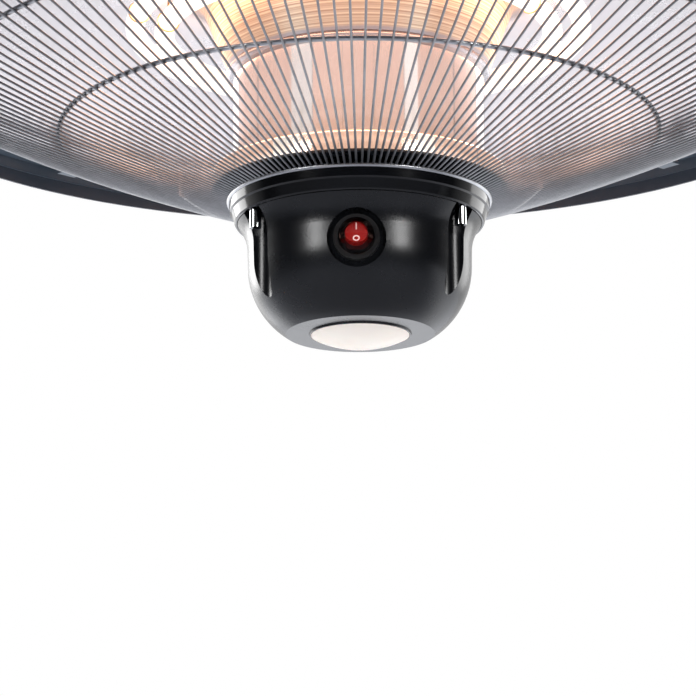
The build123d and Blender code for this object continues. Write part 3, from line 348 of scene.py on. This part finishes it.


# Guard. Drawn steel wires welded to rings and plated all over; the inner ring sits on the
# collar and the outer ring hangs in four clips under the shade's rim.

# The wires are coloured darker than the rings as painted shade for the dark surround that they mirror.
wire_painted_shade = (0.27, 0.272, 0.28, 1)
wire_painted_shade_dark = (0.2, 0.202, 0.21, 1)
ring_grey = (0.42, 0.425, 0.44, 1)
ring_dark = (0.32, 0.325, 0.34, 1)
guard_plate = streaked("guard plating", wire_painted_shade, wire_painted_shade_dark, 0.28, 0.4, scale=250.0, bump=0.05)
ring_plate = streaked("ring plating", ring_grey, ring_dark, 0.26, 0.38, scale=250.0, bump=0.05)
dress(guard_plate, "guard_wires", "guard_outer_ring")
dress(ring_plate, "guard_inner_ring", "guard_middle_ring", "guard_upper_ring")


# Column. Polished stainless tube between its base drum and its bead, drawn upwards, so that
# its faint lines run along its height.

drawn_upwards = (1, 1, 0.02)
# The column's peach and the drum's cream are painted reflection of the lamps' warm glow.
column_painted_glow = (0.83, 0.75, 0.7, 1)
column_painted_glow_dark = (0.77, 0.68, 0.63, 1)
drum_painted_glow = (0.98, 0.91, 0.82, 1)
drum_painted_glow_dark = (0.93, 0.85, 0.76, 1)
bead_grey = (0.45, 0.43, 0.45, 1)
bead_dark = (0.4, 0.38, 0.4, 1)
column_polish = streaked("polished column", column_painted_glow, column_painted_glow_dark, 0.09, 0.12,
                         stretch=drawn_upwards, scale=260.0, bump=0.03)
drum_polish = streaked("polished drum", drum_painted_glow, drum_painted_glow_dark, 0.08, 0.1, stretch=drawn_upwards,
                       scale=260.0, bump=0.03)
bead_polish = streaked("dull bead", bead_grey, bead_dark, 0.25, 0.32, bump=0.02)
dress(column_polish, "column")
dress(bead_polish, "column_bead")
dress(drum_polish, "column_base")


# Reflector. One bright anodised aluminium sheet, spun on a former, which leaves fine rings
# all round it: a trumpet over the column that opens into the trough above the lamps.

sheet_bright = (0.53, 0.505, 0.515, 1)
sheet_dark = (0.51, 0.485, 0.495, 1)
ring_pitch = 0.0011
ring_relief = 0.35
ring_depth = 0.0002
trumpet_radius = 0.085
trumpet_fade = 0.01
trumpet_roughness = 0.4
# The trumpet's straw tone is painted glow of the lamps; its darker lines follow the spun rings.
trumpet_painted_glow = (0.78, 0.7, 0.56, 1)
trumpet_glow_line = (0.42, 0.31, 0.24, 1)
lip_radius = 0.0675
lip_fade = 0.0004
lip_grey = (0.4, 0.39, 0.42, 1)


def radius_of(tree, place, x, y):
    """Distance from the heater's axis."""
    flat = node_at(tree, "ShaderNodeVectorMath", x, y, {1: (1, 1, 0)}, operation="MULTIPLY")
    radius = node_at(tree, "ShaderNodeVectorMath", x + 200, y, operation="LENGTH")
    join(tree, [(*place, flat, 0), (flat, "Vector", radius, 0)])
    return radius


def make_spun_group():
    """Fine rings that a spinning tool leaves, by distance from the axis and height."""
    tree, source, sink = group_tree("spun rings", [
        ("Vector", "NodeSocketVector", None),
        ("Pitch", "NodeSocketFloat", ring_pitch),
        ("Unevenness", "NodeSocketFloat", 0.6),
    ], [("Height", "NodeSocketFloat"), ("Mask", "NodeSocketFloat")])
    radius = radius_of(tree, (source, "Vector"), -700, 100)
    parts = node_at(tree, "ShaderNodeSeparateXYZ", -700, -100)
    along = node_at(tree, "ShaderNodeMath", -300, 50, operation="ADD")
    turns = node_at(tree, "ShaderNodeMath", -100, 50, operation="DIVIDE")
    noise = node_at(tree, "ShaderNodeTexNoise", 50, 50, {"Scale": 1.0, "Detail": 3.0},
                    noise_dimensions="1D")
    mask = node_at(tree, "ShaderNodeMapRange", 300, -100, {"From Min": 0.35, "From Max": 0.65})
    height = node_at(tree, "ShaderNodeMath", 300, 100, operation="MULTIPLY")
    join(tree, [
        (source, "Vector", parts, 0),
        (radius, "Value", along, 0),
        (parts, "Z", along, 1),
        (along, "Value", turns, 0),
        (source, "Pitch", turns, 1),
        (turns, "Value", noise, "W"),
        (noise, "Fac", height, 0),
        (source, "Unevenness", height, 1),
        (noise, "Fac", mask, "Value"),
        (height, "Value", sink, "Height"),
        (mask, "Result", sink, "Mask"),
    ])
    return tree


spun_group = make_spun_group()


def spin_rings(material):
    """Spinning rings all over; the trumpet carries a painted orange glow of the lamps, with darker lines
    along its rings and a grey lip.
    """
    tree = material.node_tree
    shader = found(tree, "BSDF_PRINCIPLED")
    place = found(tree, "TEX_COORD")
    finish = found(tree, "GROUP")
    rings = node_at(tree, "ShaderNodeGroup", -300, -400, node_tree=spun_group)
    add_bump(tree, shader, rings, ring_relief, ring_depth)
    radius = radius_of(tree, (place, "Object"), -1000, 500)
    trumpet = node_at(tree, "ShaderNodeMapRange", -650, 500,
                      {"From Min": trumpet_radius + trumpet_fade, "From Max": trumpet_radius})
    lined = node_at(tree, "ShaderNodeMix", -450, 650, {"A": trumpet_painted_glow, "B": trumpet_glow_line},
                    data_type="RGBA")
    lip = node_at(tree, "ShaderNodeMapRange", -650, 800,
                  {"From Min": lip_radius + lip_fade, "From Max": lip_radius})
    edged = node_at(tree, "ShaderNodeMix", -250, 650, {"B": lip_grey}, data_type="RGBA")
    colour = node_at(tree, "ShaderNodeMix", 0, 450, data_type="RGBA")
    dull = node_at(tree, "ShaderNodeMix", 0, 200, {"B": trumpet_roughness}, data_type="FLOAT")
    join(tree, [
        (place, "Object", rings, "Vector"),
        (radius, "Value", trumpet, "Value"),
        (radius, "Value", lip, "Value"),
        (rings, "Mask", lined, "Factor"),
        (lip, "Result", edged, "Factor"),
        (lined, "Result", edged, "A"),
        (trumpet, "Result", colour, "Factor"),
        (finish, "Color", colour, "A"),
        (edged, "Result", colour, "B"),
        (colour, "Result", shader, "Base Color"),
        (trumpet, "Result", dull, "Factor"),
        (finish, "Roughness", dull, "A"),
        (dull, "Result", shader, "Roughness"),
    ])


anodised = streaked("bright anodised sheet", sheet_bright, sheet_dark, 0.26, 0.3, scale=60.0, bump=0.0)
spin_rings(anodised)
dress(anodised, "reflector")


# Lamps. Clear quartz tubes bent to a ring, with a wound tungsten filament that burns
# yellow-white; wire loops hold them and ceramic caps close their legs.

quartz_clear = (1.0, 0.95, 0.9, 1)
quartz_dim = (0.95, 0.9, 0.86, 1)
lamp_light = (1.0, 0.53, 0.33, 1)
lamp_seen = (0.12, 0.113, 0.1, 1)
filament_hot = (0.9, 0.5, 0.25, 1)
filament_cooler = (0.8, 0.4, 0.2, 1)
support_straw = (0.8, 0.6, 0.3, 1)
support_dark = (0.6, 0.4, 0.2, 1)
ceramic_white = (0.82, 0.8, 0.76, 1)
ceramic_stained = (0.74, 0.71, 0.66, 1)
quartz = skinned("burning quartz tube", quartz_clear, quartz_dim, 0.04, 0.1, grain_scale=300.0,
                 wear_scale=40.0, bump=0.03,
                 values={"Emission Color": lamp_light, "Emission Strength": 6.0})
filament_glow = skinned("burning filament", filament_hot, filament_cooler, 0.4, 0.6,
                        values={"Emission Color": (1.0, 0.7, 0.42, 1), "Emission Strength": 22.0})
support_metal = streaked("support wire", support_straw, support_dark, 0.2, 0.35)
ceramic = skinned("white ceramic", ceramic_white, ceramic_stained, 0.45, 0.6, grain_scale=1500.0,
                  bump=0.3)


def pale_to_the_eye(material):
    """The tube lights other pieces orange, and is itself seen as a soft cream."""
    tree = material.node_tree
    path = node_at(tree, "ShaderNodeLightPath", -300, 500)
    burning = node_at(tree, "ShaderNodeMix", 0, 500, {"A": lamp_light, "B": lamp_seen}, data_type="RGBA")
    join(tree, [
        (path, "Is Camera Ray", burning, "Factor"),
        (burning, "Result", found(tree, "BSDF_PRINCIPLED"), "Emission Color"),
    ])


pale_to_the_eye(quartz)
dress(quartz, "lamp_tube_inner", "lamp_tube_outer")
dress(filament_glow, "filaments")
dress(support_metal, "lamp_supports")
dress(ceramic, "lamp_end_caps", "terminal_block")


# Middle of the heater. Aluminium spacers on the threaded tube, the heat shield over the
# reflector, and the sleeved leads that run up through a rubber grommet to the terminals.

aluminium_bright = (0.75, 0.75, 0.77, 1)
aluminium_dark = (0.62, 0.62, 0.64, 1)
sleeve_pale = (0.78, 0.77, 0.72, 1)
sleeve_soiled = (0.66, 0.64, 0.58, 1)
rubber_black = (0.02, 0.02, 0.02, 1)
rubber_dusty = (0.04, 0.04, 0.04, 1)
plain_aluminium = streaked("plain aluminium", aluminium_bright, aluminium_dark, 0.3, 0.45, bump=0.15)
sleeve = skinned("woven glass sleeve", sleeve_pale, sleeve_soiled, 0.7, 0.85, grain_scale=2600.0,
                 wear_scale=120.0, bump=0.6, depth=0.0003)
black_rubber = skinned("black rubber", rubber_black, rubber_dusty, 0.55, 0.7, grain_scale=1600.0,
                       bump=0.35)
dress(plain_aluminium, "heat_shield", "lower_spacer", "middle_spacer", "upper_spacers")
dress(sleeve, "leads")
dress(black_rubber, "lead_grommet", "gland_seal")


# Shade and cap. Pressed steel, powder-coated dark grey-blue: a fine orange-peel skin with
# small rubbed spots. The cap over the terminals is screwed through the shade's top.

coat_dark = (0.052, 0.066, 0.09, 1)
coat_rubbed = (0.06, 0.075, 0.1, 1)
powder_coat = skinned("dark powder coat", coat_dark, coat_rubbed, 0.28, 0.4, grain_scale=420.0,
                      wear_scale=16.0, bump=0.3, depth=0.0003, values={"Specular IOR Level": 0.12})
dress(powder_coat, "shade", "top_cap")


# Cable gland. Black nylon: body, locknut and clamping nut.

nylon_black = (0.02, 0.02, 0.021, 1)
nylon_scuffed = (0.04, 0.04, 0.042, 1)
gland_nylon = skinned("black nylon", nylon_black, nylon_scuffed, 0.4, 0.55, grain_scale=1400.0, bump=0.3)
dress(gland_nylon, "gland_body", "gland_locknut", "gland_nut")


# Studio floor. A pale painted sheet well below the heater. In the polished pieces alone it
# shows a glow, far behind the heater and in a patch nearer by, and a dimmer grey in front.

floor_height = -0.95
floor_reach = 6.0
floor_pale = (0.85, 0.85, 0.85, 1)
floor_trodden = (0.83, 0.83, 0.83, 1)
floor_glow = (0.9, 0.93, 1.0, 1)
floor_dim = (0.52, 0.54, 0.61, 1)
back_way = (0.3, 1, 0)
back_near, back_far = 0.35, 1.05
back_strength = 1.4
patch_middle = (0, 0.6, floor_height)
patch_core, patch_edge = 0.4, 0.6
patch_strength = 1.3
dim_below = 0.8

corners = [(-floor_reach, -floor_reach), (floor_reach, -floor_reach),
           (floor_reach, floor_reach), (-floor_reach, floor_reach)]
floor_mesh = bpy.data.meshes.new("floor")
floor_mesh.from_pydata([(x, y, floor_height) for x, y in corners], [], [(0, 1, 2, 3)])
floor = bpy.data.objects.new("floor", floor_mesh)
bpy.context.collection.objects.link(floor)
floor_paint = skinned("pale floor", floor_pale, floor_trodden, 0.6, 0.7, bump=0.02,
                      values={"Emission Color": floor_glow})
floor.data.materials.append(floor_paint)


def light_floor(material):
    """For mirrored rays only: the glow behind, the glowing patch and the dim grey in front."""
    tree = material.node_tree
    shader = found(tree, "BSDF_PRINCIPLED")
    skin = found(tree, "GROUP")
    place = found(tree, "TEX_COORD")
    path = node_at(tree, "ShaderNodeLightPath", -700, 500)
    back = node_at(tree, "ShaderNodeVectorMath", -700, 700, {1: back_way}, operation="DOT_PRODUCT")
    behind = node_at(tree, "ShaderNodeMapRange", -500, 700,
                     {"From Min": back_near, "From Max": back_far, "To Max": back_strength})
    reach = node_at(tree, "ShaderNodeVectorMath", -700, 900, {1: patch_middle}, operation="DISTANCE")
    patch = node_at(tree, "ShaderNodeMapRange", -500, 900,
                    {"From Min": patch_edge, "From Max": patch_core, "To Max": patch_strength})
    lit = node_at(tree, "ShaderNodeMath", -400, 800, operation="MAXIMUM")
    glow = node_at(tree, "ShaderNodeMath", -300, 600, operation="MULTIPLY")
    front = node_at(tree, "ShaderNodeMath", -300, 800, {1: dim_below}, operation="LESS_THAN")
    dim = node_at(tree, "ShaderNodeMath", -150, 800, operation="MULTIPLY")
    colour = node_at(tree, "ShaderNodeMix", 50, 500, {"B": floor_dim}, data_type="RGBA")
    join(tree, [
        (place, "Object", back, 0),
        (back, "Value", behind, "Value"),
        (place, "Object", reach, 0),
        (reach, "Value", patch, "Value"),
        (behind, "Result", lit, 0),
        (patch, "Result", lit, 1),
        (path, "Is Glossy Ray", glow, 0),
        (lit, "Value", glow, 1),
        (glow, "Value", shader, "Emission Strength"),
        (behind, "Result", front, 0),
        (front, "Value", dim, 0),
        (path, "Is Glossy Ray", dim, 1),
        (dim, "Value", colour, "Factor"),
        (skin, "Color", colour, "A"),
        (colour, "Result", shader, "Base Color"),
    ])


light_floor(floor_paint)


# Studio lights. Two softboxes in front, an edge light behind on each side, a tall one at the
# back left and a softbox above. Small panels in a ring round the column give it the glow of
# the lamps, warm with two pale stripes in front.

heater_middle = (0, 0, -0.27)
lights = [
    ("left softbox", (-1.52, -1.62, 0.27), heater_middle, (0.62, 0.62), 21),
    ("right softbox", (1.52, -1.62, 0.27), heater_middle, (0.62, 0.62), 21),
    ("left edge light", (-1.6, 1.4, 0.3), heater_middle, (1.4, 1.4), 26),
    ("left back light", (-1.2, 1.85, 0.1), heater_middle, (1.1, 2.2), 7),
    ("right edge light", (1.6, 1.4, 0.25), heater_middle, (1.4, 1.4), 13),
    ("top softbox", (0, -0.6, 1.6), (0, 0, 0), (1.5, 1.5), 16),
]
glow_circle = 0.092
glow_height = -0.2025
glow_rise = 0.075
glow_warm = (1.0, 0.64, 0.49)
glow_pale = (1.0, 0.97, 0.95)
glow_panels = [(-33.2, 7.2, glow_pale, 0.75), (33.2, 4.4, glow_pale, 1.0)]
glow_panels += [(turn, 9.15, glow_warm, 0.78) for turn in (-16.85, 1.4, 19.65)]
glow_panels += [(turn, 15, glow_warm, 0.7) for turn in (-55.4, -85.4, 52.6, 82.6)]
glow_panels += [(turn, 12, glow_pale, 0.9) for turn in (-112.4, 109.6)]


def soft_lamp(name, place, aim, size, power, colour=(1, 1, 1), shape="ELLIPSE"):
    """An area lamp that the camera doesn't see."""
    light = bpy.data.lights.new(name, "AREA")
    light.shape = shape
    light.size, light.size_y = size
    light.energy = power
    light.color = colour
    lamp = bpy.data.objects.new(name, light)
    lamp.location = place
    lamp.rotation_euler = (Vector(aim) - Vector(place)).to_track_quat("-Z", "Y").to_euler()
    lamp.visible_camera = False
    bpy.context.collection.objects.link(lamp)


for name, place, aim, size, power in lights:
    soft_lamp(name, place, aim, size, power)
for turn, half_width, colour, brightness in glow_panels:
    place = (glow_circle * sin(radians(turn)), -glow_circle * cos(radians(turn)), glow_height)
    width = 2 * glow_circle * sin(radians(half_width))
    power = brightness * pi * width * glow_rise
    soft_lamp("lamp glow %d" % turn, place, (0, 0, glow_height), (width, glow_rise), power, colour,
              "RECTANGLE")


# Surround. White for the camera and through the clear boot. As light on the heater it is
# nearly dark in front and grows to white behind.

surround_dark = 0.03
surround_white_at = 0.5


def light_surround(tree):
    """Strength of the surround, by the kind of ray and by how far back it points."""
    path = node_at(tree, "ShaderNodeLightPath", -900, 200)
    seen = node_at(tree, "ShaderNodeMath", -650, 200, operation="MAXIMUM")
    way = node_at(tree, "ShaderNodeTexCoord", -900, -100)
    parts = node_at(tree, "ShaderNodeSeparateXYZ", -700, -100)
    backdrop = node_at(tree, "ShaderNodeMapRange", -500, -100,
                       {"From Min": 0.0, "From Max": surround_white_at, "To Min": surround_dark})
    strength = node_at(tree, "ShaderNodeMath", -250, 0, operation="MAXIMUM")
    background = tree.nodes["Background"]
    background.inputs["Color"].default_value = (1, 1, 1, 1)
    join(tree, [
        (path, "Is Camera Ray", seen, 0),
        (path, "Is Transmission Ray", seen, 1),
        (way, "Generated", parts, 0),
        (parts, "Y", backdrop, "Value"),
        (seen, "Value", strength, 0),
        (backdrop, "Result", strength, 1),
        (strength, "Value", background, "Strength"),
    ])


world = bpy.data.worlds.new("surround")
bpy.context.scene.world = world
world.use_nodes = True
light_surround(world.node_tree)


# Camera. Below and in front of the heater and a little to its right, looking up through a
# long lens.

aside = radians(1.6)
camera_reach = 1.6638
camera_height = -0.73785
camera_place = Vector((camera_reach * sin(aside), -camera_reach * cos(aside), camera_height))
pitch, yaw, roll = radians(13.991), radians(-0.215) - aside, radians(-0.323)
ahead = Vector((sin(yaw) * cos(pitch), cos(yaw) * cos(pitch), sin(pitch)))
level = Vector((cos(yaw), -sin(yaw), 0))
above = level.cross(ahead)
right = level * cos(roll) + above * sin(roll)
upward = above * cos(roll) - level * sin(roll)
long_lens = bpy.data.cameras.new("camera")
long_lens.sensor_width = 36.0
long_lens.lens = 175.86
long_lens.clip_start = 0.05
camera = bpy.data.objects.new("camera", long_lens)
facing = Matrix((right, upward, -ahead)).transposed().to_4x4()
camera.matrix_world = Matrix.Translation(camera_place) @ facing
bpy.context.collection.objects.link(camera)
bpy.context.scene.camera = camera
bpy.context.scene.view_settings.view_transform = "Standard"
